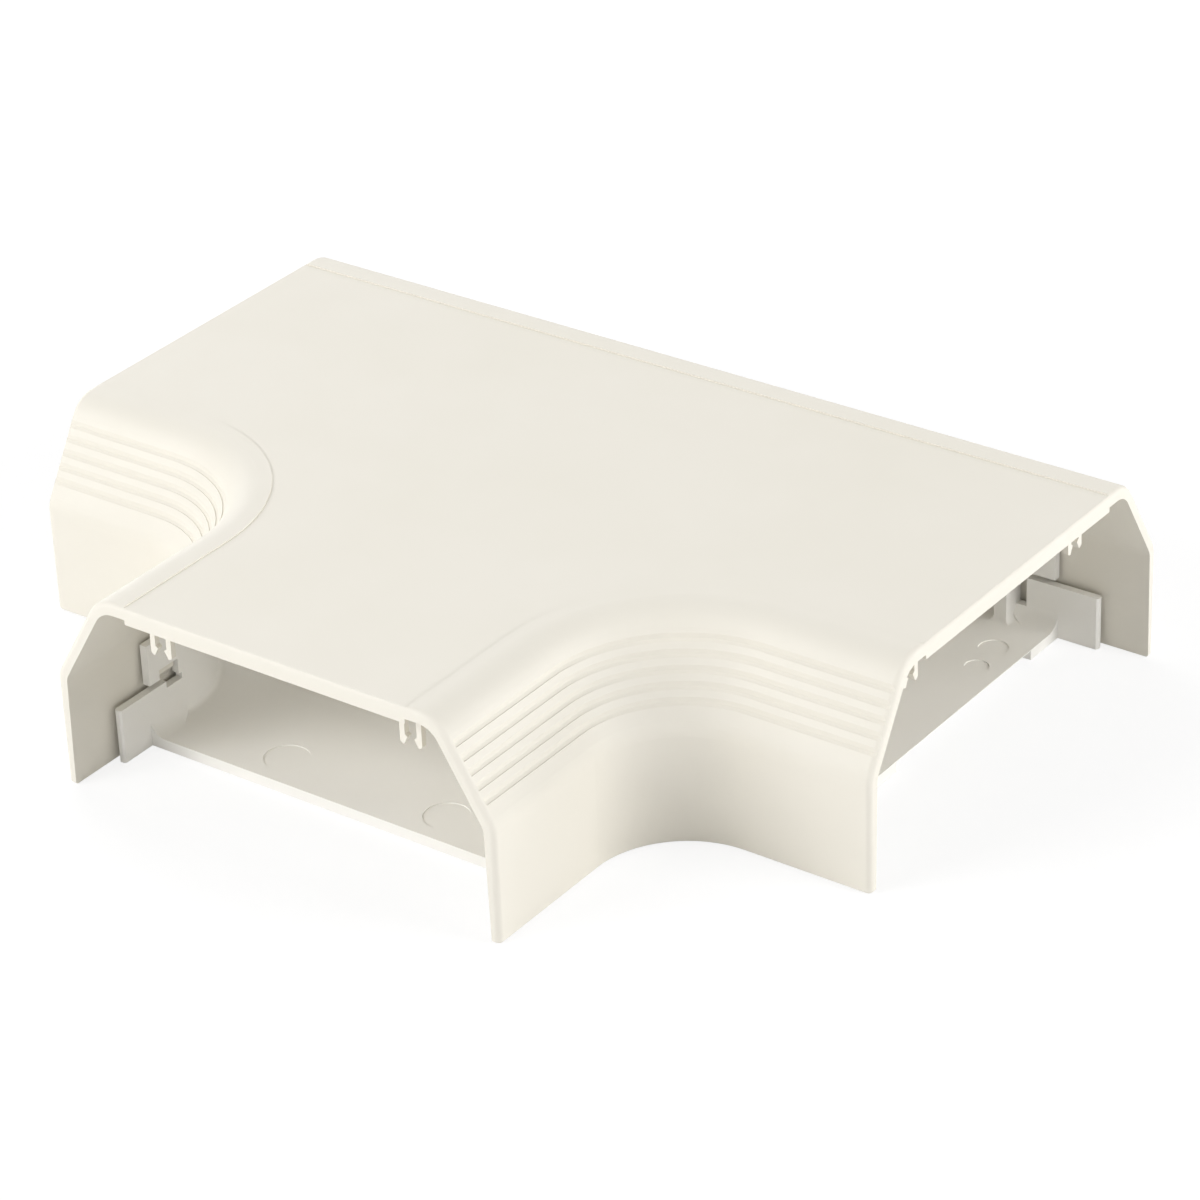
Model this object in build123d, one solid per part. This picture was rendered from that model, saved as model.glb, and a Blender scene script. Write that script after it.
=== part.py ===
from build123d import *
import math
import os

# Tee fitting for surface trunking: a wall base and the cover that snaps over it.
# The origin is on the mounting plane, where the centre lines of the three arms meet.
# The run lies along X, the branch points to -Y and the roof is at the top of Z.

# Cover. Each arm has a straight stretch between its opening and the inner bend.
run_straight = 28.95
branch_straight = 31.4
cover_width = 107.0
cover_height = 45.5
upright_height = 25.3
cover_wall = 2.5
cover_roof = 2.6
bevel_width = 12.2
bend_radius = 19.8
shoulder_radius = 7.5
hip_radius = 6.0
rim_radius = 1.2
lower_edge_break = 0.4

# The upright walls lean inside, and are this much thinner at their foot than at the top
wall_thinning = 0.55

# Sunk panel in the roof, and the pad under it
panel_margin = 19.1
panel_depth = 0.25
pad_margin = 19.5
pad_drop = 1.0

# Grooves on the bevels of the two inner bends
groove_count = 5
groove_first = 5.2
groove_pitch = 3.05
groove_ramp = 0.9
groove_floor = 0.7
groove_depth = 0.4
groove_rise_share = 0.6
branch_groove_stop = 1.3
run_groove_stop = 0.35

# Hooks under the pad
hook_inset = 6.3
hook_margin = 3.5
hook_spacing = 4.0
hook_thickness = 1.2
hook_length = 1.3
hook_drop = 9.0
barb_reach = 0.6
barb_height = 1.8
barb_shoulder = 0.5
hook_tip = 0.5

# Base
floor_setback = 19.6
floor_thickness = 2.4
base_clearance = 0.8
base_wall = 1.7
base_top_gap = 2.2
wall_end_setback = 0.85
foot_radius = 1.2
root_radius = 3.4
root_full_length = 6.2
root_length = 10.6

# Tabs that reach into the neighbouring lengths of trunking
tab_reach = 8.3
run_tab_extra = 1.1
tab_height = 12.0
tab_edge = 0.4

# Catch windows in the base walls and the snap lugs of the cover
branch_window_inset = 23.5
run_window_inset = 27.1
window_length = 5.7
window_height = 3.5
sill_drop = 1.45
sill_setback = 1.8
sill_past_window = 0.9
slit_height = 1.3
lug_side_gap = 0.5
lug_top_gap = 0.3
lug_bite = 0.9
lug_land = 1.3
lug_slope_height = 2.3

# Posts on the back wall of the base, each with a slot beside it
post_inset = 31.1
post_width = 3.0
post_depth = 3.9
post_slot_length = 2.5
post_slot_bottom = 5.3

# Lap relief under the run's floor ends
relief_from = -13.5
relief_to = 37.8
relief_land = 0.15
relief_depth = 4.5

# Round marks on the floor
branch_mark_offset = 20.0
branch_mark_inset = 8.0
branch_mark_radius = 4.8
run_mark_offset = 26.4
run_mark_inset = 6.0
run_mark_radius = 2.6
pair_mark_offset = 34.6
pair_mark_inset = 7.0
pair_mark_radius = 3.2
mark_depth = 0.2

# Screw holes through the floor
screw_spacing_x = 90.0
screw_spacing_y = 50.0
screw_radius = 2.4
sink_radius = 4.4
sink_depth = 1.6

# How far every cutting body runs past what it cuts, and the share of it within which
# an edge or face counts as lying in a plane
overrun = 2.0
match_share = 0.01

# Derived sizes
half_width = cover_width / 2
bend_centre = half_width + bend_radius
half_run = bend_centre + run_straight
run_length = 2 * half_run
branch_reach = bend_centre + branch_straight
bevel_height = cover_height - upright_height
bevel_angle = math.degrees(math.atan2(bevel_width, bevel_height))
bevel_sin = math.sin(math.radians(bevel_angle))
bevel_cos = math.cos(math.radians(bevel_angle))
inner_half = half_width - cover_wall
inner_hip = upright_height - cover_wall * math.tan(math.radians(bevel_angle) / 2)
inner_lean = wall_thinning / inner_hip
roof_underside = cover_height - cover_roof
inner_bevel_height = roof_underside - inner_hip
pad_underside = roof_underside - pad_drop
base_outer_half = inner_half - base_clearance
base_inner_half = base_outer_half - base_wall
base_height = inner_hip - base_top_gap
window_top = tab_height + window_height
window_sill = tab_height - sill_drop
hook_offset = half_width - pad_margin - hook_margin
arm_lengths = (half_run, branch_reach, half_run)
arm_angles = (90, 0, -90)
tab_lengths = (tab_reach + run_tab_extra, tab_reach, tab_reach + run_tab_extra)
window_insets = (run_window_inset, branch_window_inset, run_window_inset)


def tee_outline(half, ends):
    """Plan face of a tee whose sides lie half from the centre lines and whose bends
    share one centre, with its three arms carried on by ends past the openings."""
    far_x = half_run + ends
    far_y = -branch_reach - ends
    corners = [
        (-far_x, half),
        (-far_x, -half),
        (-half, -half),
        (-half, far_y),
        (half, far_y),
        (half, -half),
        (far_x, -half),
        (far_x, half),
    ]
    face = make_face(Polyline(*corners, close=True))
    bends = [face.vertices().sort_by_distance((side * half, -half))[0] for side in (1, -1)]
    return fillet(bends, bend_centre - half)


def tee_slab(half, bottom, top, ends):
    """Flat tee-shaped slab between two heights."""
    return Pos(0, 0, bottom) * extrude(tee_outline(half, ends), amount=top - bottom)


def clip_box(ends, bottom, top):
    """Box that holds the tee and cuts its arms off square, ends past the openings."""
    size_x = run_length + 2 * ends
    size_y = branch_reach + half_width + ends + overrun
    centre_y = half_width + overrun - size_y / 2
    return Pos(0, centre_y, bottom) * Box(
        size_x, size_y, top - bottom, align=(Align.CENTER, Align.CENTER, Align.MIN)
    )


def on_opening(shape, ends):
    """True for an edge or face that lies in one of the three opening planes."""
    centre = shape.center()
    near = overrun * match_share
    at_run = abs(abs(centre.X) - half_run - ends) < near
    return at_run or abs(centre.Y + branch_reach + ends) < near


def edges_at(body, height, ends):
    """Edges at one height, without those in the opening planes."""
    near = overrun * match_share
    level = body.edges().filter_by_position(Axis.Z, height - near, height + near)
    return level.filter_by(lambda edge: not on_opening(edge, ends))


def rim_edges(body):
    """Edges round the three openings of a solid tee, without those at its bottom."""
    rims = []
    for face in body.faces().filter_by(lambda f: on_opening(f, 0)):
        rims += face.edges().sort_by(Axis.Z)[1:]
    return rims


def bevelled_tee(half, hip, bevel_rise, hip_round, shoulder_round, bottom, lean, ends):
    """Tee with upright lower sides, or ones that lean in by a share of their height, and
    bevelled upper sides, half from the centre lines where the two meet, rounded there."""
    spare = bevel_rise + ends + overrun
    top = hip + bevel_rise
    foot = tee_outline(half + lean * (hip - bottom), spare)
    lean_angle = math.degrees(math.atan(lean))
    lower = Pos(0, 0, bottom) * extrude(foot, amount=hip - bottom, taper=lean_angle)
    upper = Pos(0, 0, hip) * extrude(tee_outline(half, spare), amount=bevel_rise, taper=bevel_angle)
    body = (lower + upper) & clip_box(ends, bottom, top)
    body = fillet(edges_at(body, hip, ends), hip_round)
    return fillet(edges_at(body, top, ends), shoulder_round)


def slant_point(down, out):
    """Distance from the wall plane and height of a point on the bevel, given its
    distance down the slope from the roof's edge and out from the slope."""
    beyond = -bevel_width + down * bevel_sin + out * bevel_cos
    height = cover_height - down * bevel_cos + out * bevel_sin
    return beyond, height


def groove_corners(index):
    """Section of one groove: a ramp inwards, a rising floor and a steep lower side."""
    start = groove_first + index * groove_pitch
    low = start + groove_ramp
    end = low + groove_floor
    return [
        slant_point(start - groove_ramp, groove_depth),
        slant_point(low, -groove_depth),
        slant_point(end, -groove_depth * groove_rise_share),
        slant_point(end, groove_depth),
    ]


def groove_section(plane, direction):
    """All groove sections as faces on a plane whose first axis points across the arm."""
    faces = []
    for index in range(groove_count):
        points = [(direction * (half_width + u), z) for u, z in groove_corners(index)]
        faces.append(plane * make_face(Polyline(*points, close=True)))
    return faces


def bend_grooves():
    """Cutters for the grooves on the +X bend: along the branch, round, along the run."""
    branch_plane = Plane(origin=(0, -bend_centre, 0), x_dir=(1, 0, 0), z_dir=(0, -1, 0))
    run_plane = Plane(origin=(bend_centre, 0, 0), x_dir=(0, 1, 0), z_dir=(1, 0, 0))
    bend_axis = Axis((bend_centre, -bend_centre, 0), (0, 0, -1))
    branch_part = branch_reach - branch_groove_stop - bend_centre
    run_part = half_run - run_groove_stop - bend_centre
    cutters = []
    for face in groove_section(branch_plane, 1):
        cutters.append(extrude(face, amount=branch_part))
        cutters.append(revolve(face, axis=bend_axis, revolution_arc=90))
    for face in groove_section(run_plane, -1):
        cutters.append(extrude(face, amount=run_part))
    return cutters


def hook(barb_side):
    """Hook that hangs from the pad, centred on its stem, its barb to one side."""
    half = hook_thickness / 2
    top = pad_underside + pad_drop / 2
    tip = pad_underside - hook_drop
    shoulder = tip + barb_height
    points = [
        (-half, top),
        (half, top),
        (half, shoulder + barb_shoulder),
        (half + barb_reach, shoulder),
        (hook_tip / 2, tip),
        (-half, tip + barb_shoulder),
    ]
    points = [(barb_side * x, z) for x, z in points]
    face = Plane.XZ * make_face(Polyline(*points, close=True))
    return extrude(face, amount=hook_length / 2, both=True)


def arm_hooks(reach):
    """The two pairs of hooks of one arm, drawn in the branch's place for a given reach."""
    hooks = []
    for side in (1, -1):
        for step in (1, -1):
            across = side * hook_offset + step * hook_spacing / 2
            hooks.append(Pos(across, hook_inset - reach, 0) * hook(-step))
    return hooks


def lug(reach, window_inset, side):
    """Snap lug on the cover's wall, with a sloped underside and a flat catch on top."""
    top = window_top - lug_top_gap
    land = top - lug_land
    heel = land - lug_slope_height
    root = inner_half + cover_wall / 2
    tip = base_outer_half - lug_bite
    points = [
        (root, top),
        (tip, top),
        (tip, land),
        (inner_half + inner_lean * (inner_hip - heel), heel),
        (root, heel),
    ]
    face = Plane.XZ * make_face(Polyline(*[(side * x, z) for x, z in points], close=True))
    middle = window_inset + window_length / 2 - reach
    half_length = window_length / 2 - lug_side_gap
    return Pos(0, middle, 0) * extrude(face, amount=half_length, both=True)


def make_cover():
    """Cover: a bevelled tee-shaped channel, open underneath and at its three ends."""
    shell = bevelled_tee(
        half_width, upright_height, bevel_height, hip_radius, shoulder_radius, 0, 0, 0
    )
    shell = fillet(rim_edges(shell), rim_radius)
    shell = chamfer(shell.faces().sort_by(Axis.Z)[0].edges(), lower_edge_break)
    shell -= tee_slab(
        half_width - panel_margin, cover_height - panel_depth, cover_height + overrun, overrun
    )
    grooves = bend_grooves()
    shell -= grooves
    shell -= [mirror(cutter, about=Plane.YZ) for cutter in grooves]
    hollow = bevelled_tee(
        inner_half,
        inner_hip,
        inner_bevel_height,
        hip_radius - cover_wall,
        shoulder_radius - cover_wall,
        -overrun,
        inner_lean,
        overrun,
    )
    hollow -= tee_slab(half_width - pad_margin, pad_underside, cover_height, 2 * overrun)
    shell -= hollow
    for reach, angle, inset in zip(arm_lengths, arm_angles, window_insets):
        turn = Rot(0, 0, angle)
        shell += [turn * piece for piece in arm_hooks(reach)]
        shell += [turn * lug(reach, inset, side) for side in (1, -1)]
    return shell


def base_arm_cut(reach, window_inset):
    """Bodies taken from one arm of the base, drawn in the branch's place: the set-back
    of its wall ends, and a catch window with the slit that leads to it and a dropped
    sill, on each side."""
    edge = floor_setback - reach
    window = window_inset - reach
    deep = base_wall + 2 * overrun
    middle = base_outer_half - base_wall / 2
    cuts = []

    def slot(near, far, low, high):
        size = (deep, far - near, high - low)
        align = (Align.CENTER, Align.MIN, Align.MIN)
        for side in (1, -1):
            cuts.append(Pos(side * middle, near, low) * Box(*size, align=align))

    slit_top = tab_height + slit_height
    slot(edge - overrun, edge + wall_end_setback, tab_height, base_height + overrun)
    slot(edge - overrun, window + overrun, tab_height, slit_top)
    slot(window, window + window_length, tab_height, window_top)
    sill_end = window + window_length + sill_past_window
    slot(window + sill_setback, sill_end, window_sill, tab_height)
    return cuts


def tab(reach, length_past_floor, side):
    """Flat tongue that carries the base wall on past the end of the floor."""
    start = floor_setback - length_past_floor - reach
    length = length_past_floor + wall_end_setback + overrun
    block = Box(base_wall, length, tab_height, align=(Align.CENTER, Align.MIN, Align.MIN))
    nose = block.edges().filter_by(Axis.Z).group_by(Axis.Y)[0]
    block = chamfer(nose, tab_edge)
    return Pos(side * (base_outer_half - base_wall / 2), start, 0) * block


def root_cove(reach, side):
    """Hollow-faced thickening where the end of a wall stands on the floor. Its foot
    keeps even for a while and then slants back to the wall."""
    corner = base_inner_half + base_wall / 2
    inner = base_inner_half - root_radius
    top = floor_thickness + root_radius
    below = floor_thickness / 2
    section = make_face(
        Polyline((corner, below), (corner, top), (inner, top), (inner, below), close=True)
    )
    section -= Pos(inner, top) * Circle(root_radius)
    rail = extrude(Plane.XZ * section, amount=-root_length)
    plan = make_face(
        Polyline(
            (corner, 0),
            (inner, 0),
            (inner, root_full_length),
            (base_inner_half - foot_radius / 2, root_length),
            (corner, root_length),
            close=True,
        )
    )
    piece = Pos(0, floor_setback - reach, 0) * (rail & extrude(plan, amount=top))
    return piece if side > 0 else mirror(piece, about=Plane.YZ)


def floor_mark(x, y, radius):
    """Cutter for one shallow round mark in the floor."""
    align = (Align.CENTER, Align.CENTER, Align.MIN)
    disc = Cylinder(radius, mark_depth + overrun, align=align)
    return Pos(x, y, floor_thickness - mark_depth) * disc


def floor_marks():
    """Cutters for the round marks: a pair near each opening."""
    branch_y = floor_setback + branch_mark_inset - branch_reach
    run_x = half_run - floor_setback - run_mark_inset
    pair_x = half_run - floor_setback - pair_mark_inset
    marks = []
    for side in (1, -1):
        marks.append(floor_mark(side * branch_mark_offset, branch_y, branch_mark_radius))
        marks.append(floor_mark(side * run_x, run_mark_offset, run_mark_radius))
        marks.append(floor_mark(side * pair_x, pair_mark_offset, pair_mark_radius))
    return marks


def screw_holes():
    """Four holes through the floor, sunk on top for flat screw heads."""
    align = (Align.CENTER, Align.CENTER, Align.MAX)
    holes = []
    for side_x in (1, -1):
        for side_y in (1, -1):
            place = Pos(side_x * screw_spacing_x / 2, side_y * screw_spacing_y / 2, 0)
            bore = Cylinder(screw_radius, 2 * floor_thickness + 2 * overrun)
            sink = Cone(screw_radius, sink_radius, sink_depth, align=align)
            holes.append(place * bore)
            holes.append(place * Pos(0, 0, floor_thickness) * sink)
    return holes


def relief(end):
    """Wedge that thins the underside of the floor's edge to a lip, at one run end."""
    edge = half_run - floor_setback
    points = [
        (edge - relief_depth, 0),
        (edge, floor_thickness - relief_land),
        (edge + overrun, floor_thickness - relief_land),
        (edge + overrun, -overrun),
        (edge - relief_depth, -overrun),
    ]
    face = make_face(Polyline(*[(end * x, z) for x, z in points], close=True))
    placed = Plane(origin=(0, relief_from, 0), x_dir=(1, 0, 0), z_dir=(0, -1, 0)) * face
    return extrude(placed, amount=relief_from - relief_to)


def post(end):
    """Upright rib on the inner side of the back wall."""
    align = (Align.CENTER, Align.MAX, Align.MIN)
    rib = Box(post_width, post_depth + base_wall / 2, base_height, align=align)
    return Pos(end * (half_run - post_inset), base_inner_half + base_wall / 2, 0) * rib


def post_slot(end):
    """Upright slot through the back wall, from beside a post into the catch window."""
    centre_x = half_run - post_inset + (post_width + post_slot_length) / 2
    deep = base_wall + overrun
    size = (post_slot_length, deep, window_top - post_slot_bottom)
    slot = Box(*size, align=(Align.CENTER, Align.MIN, Align.MIN))
    return Pos(end * centre_x, base_inner_half - foot_radius / 2, post_slot_bottom) * slot


def make_base():
    """Base: a tee-shaped floor with an upright wall along each side."""
    trim = clip_box(-floor_setback, 0, base_height)
    body = tee_slab(base_outer_half, 0, base_height, 0) & trim
    body -= tee_slab(base_inner_half, floor_thickness, base_height + overrun, overrun)
    for end in (1, -1):
        body += post(end)
    body = fillet(edges_at(body, floor_thickness, -floor_setback), foot_radius)
    arms = zip(arm_lengths, arm_angles, tab_lengths, window_insets)
    for reach, angle, tab_length, inset in arms:
        turn = Rot(0, 0, angle)
        body += [turn * root_cove(reach, side) for side in (1, -1)]
        body -= [turn * piece for piece in base_arm_cut(reach, inset)]
        body += [turn * tab(reach, tab_length, side) for side in (1, -1)]
    body -= floor_marks()
    body -= screw_holes()
    for end in (1, -1):
        body -= relief(end)
        body -= post_slot(end)
    return body


os.makedirs("parts", exist_ok=True)
cover = make_cover()
base = make_base()
export_step(cover, "parts/cover.step")
export_step(base, "parts/base.step")
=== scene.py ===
import math

import bpy
from mathutils import Matrix, Vector

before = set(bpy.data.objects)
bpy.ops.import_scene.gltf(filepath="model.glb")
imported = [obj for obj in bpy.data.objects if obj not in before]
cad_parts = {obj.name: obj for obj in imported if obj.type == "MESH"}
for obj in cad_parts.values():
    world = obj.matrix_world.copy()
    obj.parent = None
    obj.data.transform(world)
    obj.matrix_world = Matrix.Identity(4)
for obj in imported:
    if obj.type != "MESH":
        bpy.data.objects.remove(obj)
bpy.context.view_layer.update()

# Camera, solved from the object's corners in the photograph, in degrees, pixels, mm and m
AZIMUTH, ELEVATION, ROLL = 36.821, 29.539, -2.285
FOCAL_PX, IMAGE_PX, SENSOR_MM = 4408.74, 1200.0, 36.0
SHIFT_RIGHT, SHIFT_UP, DISTANCE = 0.000886, 0.006359, 0.91988
CLIP_NEAR, CLIP_FAR = 0.01, 50

# Softboxes: azimuth from -Y towards +X and elevation in degrees, size in m, power in W
SOFTBOXES = {
    "front": (-40, 22, (0.5, 0.5), 5.65),
    "front_high": (-25, 32, (0.5, 0.5), 6.1),
    "front_right_low": (45, 12, (0.35, 0.25), 1.25),
    "right_high": (100, 32, (0.5, 0.5), 5.5),
    "right_low": (105, 12, (0.35, 0.25), 3.7),
    "right_back_low": (135, 12, (0.35, 0.25), 3.5),
    "left_low": (-120, 8, (0.7, 0.35), 2.45),
    "left_high": (-120, 42, (0.7, 0.7), 3.6),
    "left_back": (-150, 22, (0.5, 0.5), 1.4),
}
LAMP_DISTANCE = 1.4
LAMP_TARGET = Vector((0, 0, 0.02))

# World: strength of the soft light, and of the white that is seen
SOFT_STRENGTH, WHITE_STRENGTH = 0.29, 1.0

# Floor in m, its tones, and how far from the middle its glow rises to white
FLOOR_SIZE, FLOOR_DROP = 6, 0.0002
FLOOR_COLOUR, FLOOR_ROUGHNESS, SHADOW_COLOUR = 0.9, 0.9, 0.25
GLOW_NEAR, GLOW_FAR = 0.25, 0.8
GLOW_NEAR_STRENGTH, GLOW_FAR_STRENGTH = 0.8, 1.0

# Plastics: light and dark 8-bit sRGB tones, and roughness
PLASTICS = {
    "cover": ((237, 232.6, 221.7), (235, 230.6, 218.7), 0.55),
    "base": ((249, 247, 242), (247, 245, 239), 0.55),
}
PLASTIC_IOR, PLASTIC_SPECULAR = 1.5, 0.5

# Their surface: noise scales per metre and bump heights in m
DRIFT_SCALE, DRIFT_DETAIL, DRIFT_LOW, DRIFT_HIGH = 22.0, 3.0, 0.3, 0.7
GLOSS_SCALE, GLOSS_DETAIL, GLOSS_SPREAD = 140.0, 2.0, 0.05
GRAIN_SCALE, GRAIN_DETAIL, GRAIN_STRENGTH, GRAIN_HEIGHT = 2600.0, 2.0, 0.12, 0.00005
WAVE_SCALE, WAVE_DETAIL, WAVE_STRENGTH, WAVE_HEIGHT = 60.0, 2.0, 0.2, 0.0002


def srgb(r, g, b):
    """Linear colour from an 8-bit sRGB one."""
    out = []
    for c in (r, g, b):
        c /= 255
        out.append(c / 12.92 if c <= 0.04045 else ((c + 0.055) / 1.055) ** 2.4)
    return (*out, 1.0)


def grey(tone):
    """Linear grey."""
    return (tone, tone, tone, 1)


def direction(azimuth, elevation):
    """Unit vector towards an azimuth, from -Y towards +X, and an elevation in degrees."""
    turn, tilt = math.radians(azimuth), math.radians(elevation)
    level = math.cos(tilt)
    return Vector((math.sin(turn) * level, -math.cos(turn) * level, math.sin(tilt)))


# Materials
def noise(tree, place, scale, detail):
    """Noise value over the object's own coordinates."""
    texture = tree.nodes.new("ShaderNodeTexNoise")
    texture.inputs["Scale"].default_value = scale
    texture.inputs["Detail"].default_value = detail
    tree.links.new(place.outputs["Object"], texture.inputs["Vector"])
    return texture.outputs["Fac"]


def bump(tree, height, strength, distance):
    """Bump node fed by a height."""
    node = tree.nodes.new("ShaderNodeBump")
    node.inputs["Strength"].default_value = strength
    node.inputs["Distance"].default_value = distance
    tree.links.new(height, node.inputs["Height"])
    return node


def moulded_plastic(name, light, dark, roughness):
    """Satin moulded plastic: faint tone drift, fine pebbled surface and uneven gloss."""
    mat = bpy.data.materials.new(name)
    mat.use_nodes = True
    tree = mat.node_tree
    shader = tree.nodes["Principled BSDF"]
    shader.inputs["IOR"].default_value = PLASTIC_IOR
    shader.inputs["Specular IOR Level"].default_value = PLASTIC_SPECULAR
    place = tree.nodes.new("ShaderNodeTexCoord")

    ramp = tree.nodes.new("ShaderNodeValToRGB")
    low, high = ramp.color_ramp.elements
    low.position, high.position = DRIFT_LOW, DRIFT_HIGH
    low.color, high.color = dark, light
    tree.links.new(noise(tree, place, DRIFT_SCALE, DRIFT_DETAIL), ramp.inputs["Fac"])
    tree.links.new(ramp.outputs["Color"], shader.inputs["Base Color"])

    spread = tree.nodes.new("ShaderNodeMapRange")
    spread.inputs["To Min"].default_value = roughness - GLOSS_SPREAD
    spread.inputs["To Max"].default_value = roughness + GLOSS_SPREAD
    tree.links.new(noise(tree, place, GLOSS_SCALE, GLOSS_DETAIL), spread.inputs["Value"])
    tree.links.new(spread.outputs["Result"], shader.inputs["Roughness"])

    pebble = noise(tree, place, GRAIN_SCALE, GRAIN_DETAIL)
    swell = noise(tree, place, WAVE_SCALE, WAVE_DETAIL)
    grain = bump(tree, pebble, GRAIN_STRENGTH, GRAIN_HEIGHT)
    wave = bump(tree, swell, WAVE_STRENGTH, WAVE_HEIGHT)
    tree.links.new(grain.outputs["Normal"], wave.inputs["Normal"])
    tree.links.new(wave.outputs["Normal"], shader.inputs["Normal"])
    return mat


def directly_seen(tree):
    """Output that is 1 for camera, glossy and transmission rays, and 0 for all others."""
    path = tree.nodes.new("ShaderNodeLightPath")
    seen = path.outputs["Is Camera Ray"]
    for ray in ("Is Glossy Ray", "Is Transmission Ray"):
        either = tree.nodes.new("ShaderNodeMath")
        either.operation = "MAXIMUM"
        tree.links.new(seen, either.inputs[0])
        tree.links.new(path.outputs[ray], either.inputs[1])
        seen = either.outputs[0]
    return seen


def floor_sheet():
    """Plain pale sheet. Seen directly, it glows white outside the object's shadow."""
    mat = bpy.data.materials.new("floor_sheet")
    mat.use_nodes = True
    tree = mat.node_tree
    shader = tree.nodes["Principled BSDF"]
    shader.inputs["Base Color"].default_value = grey(FLOOR_COLOUR)
    shader.inputs["Roughness"].default_value = FLOOR_ROUGHNESS
    place = tree.nodes.new("ShaderNodeTexCoord")
    away = tree.nodes.new("ShaderNodeVectorMath")
    away.operation = "LENGTH"
    tree.links.new(place.outputs["Object"], away.inputs[0])
    rise = tree.nodes.new("ShaderNodeMapRange")
    rise.inputs["From Min"].default_value = GLOW_NEAR
    rise.inputs["From Max"].default_value = GLOW_FAR
    rise.inputs["To Min"].default_value = GLOW_NEAR_STRENGTH
    rise.inputs["To Max"].default_value = GLOW_FAR_STRENGTH
    tree.links.new(away.outputs["Value"], rise.inputs["Value"])
    glow = tree.nodes.new("ShaderNodeEmission")
    tree.links.new(rise.outputs["Result"], glow.inputs["Strength"])
    shade = tree.nodes.new("ShaderNodeBsdfDiffuse")
    shade.inputs["Color"].default_value = grey(SHADOW_COLOUR)
    seen = tree.nodes.new("ShaderNodeAddShader")
    tree.links.new(shade.outputs[0], seen.inputs[0])
    tree.links.new(glow.outputs[0], seen.inputs[1])
    blend = tree.nodes.new("ShaderNodeMixShader")
    tree.links.new(directly_seen(tree), blend.inputs["Fac"])
    tree.links.new(shader.outputs[0], blend.inputs[1])
    tree.links.new(seen.outputs[0], blend.inputs[2])
    tree.links.new(blend.outputs[0], tree.nodes["Material Output"].inputs["Surface"])
    return mat


for node, (light, dark, roughness) in PLASTICS.items():
    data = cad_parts[node].data
    data.materials.clear()
    data.materials.append(moulded_plastic(node + "_plastic", srgb(*light), srgb(*dark), roughness))


# Camera
def place_camera():
    """Camera at the photograph's angle, for a square image."""
    back = direction(AZIMUTH, ELEVATION)
    level = direction(AZIMUTH + 90, 0)
    upright = back.cross(level)
    roll = math.radians(ROLL)
    right = level * math.cos(roll) + upright * math.sin(roll)
    up = upright * math.cos(roll) - level * math.sin(roll)
    place = right * SHIFT_RIGHT + up * SHIFT_UP + back * DISTANCE
    lens = bpy.data.cameras.new("camera")
    lens.sensor_width = SENSOR_MM
    lens.lens = FOCAL_PX / IMAGE_PX * SENSOR_MM
    lens.clip_start, lens.clip_end = CLIP_NEAR, CLIP_FAR
    camera = bpy.data.objects.new("camera", lens)
    facing = Matrix((right, up, back)).transposed().to_4x4()
    camera.matrix_world = Matrix.Translation(place) @ facing
    bpy.context.scene.collection.objects.link(camera)
    bpy.context.scene.camera = camera


place_camera()


# Lights
def area_light(name, place, target, size, power):
    """Rectangular lamp aimed at a point."""
    lamp = bpy.data.lights.new(name, "AREA")
    lamp.shape = "RECTANGLE"
    lamp.size, lamp.size_y = size
    lamp.energy = power
    obj = bpy.data.objects.new(name, lamp)
    facing = (place - target).to_track_quat("Z", "Y").to_matrix().to_4x4()
    obj.matrix_world = Matrix.Translation(place) @ facing
    bpy.context.scene.collection.objects.link(obj)


for name, (azimuth, elevation, size, power) in SOFTBOXES.items():
    area_light(name, direction(azimuth, elevation) * LAMP_DISTANCE, LAMP_TARGET, size, power)


# World: soft even light, seen as white by the camera and by gloss
def background(tree, strength):
    """White background shader of one strength."""
    node = tree.nodes.new("ShaderNodeBackground")
    node.inputs["Color"].default_value = grey(1)
    node.inputs["Strength"].default_value = strength
    return node.outputs[0]


world = bpy.data.worlds.new("studio")
bpy.context.scene.world = world
world.use_nodes = True
sky = world.node_tree
sky.nodes.clear()
mix = sky.nodes.new("ShaderNodeMixShader")
sky.links.new(directly_seen(sky), mix.inputs["Fac"])
sky.links.new(background(sky, SOFT_STRENGTH), mix.inputs[1])
sky.links.new(background(sky, WHITE_STRENGTH), mix.inputs[2])
out = sky.nodes.new("ShaderNodeOutputWorld")
sky.links.new(mix.outputs[0], out.inputs["Surface"])

# Floor
bpy.ops.mesh.primitive_plane_add(size=FLOOR_SIZE, location=(0, 0, -FLOOR_DROP))
floor = bpy.context.object
floor.name = "floor"
floor.data.materials.append(floor_sheet())

bpy.context.scene.view_settings.view_transform = "Standard"
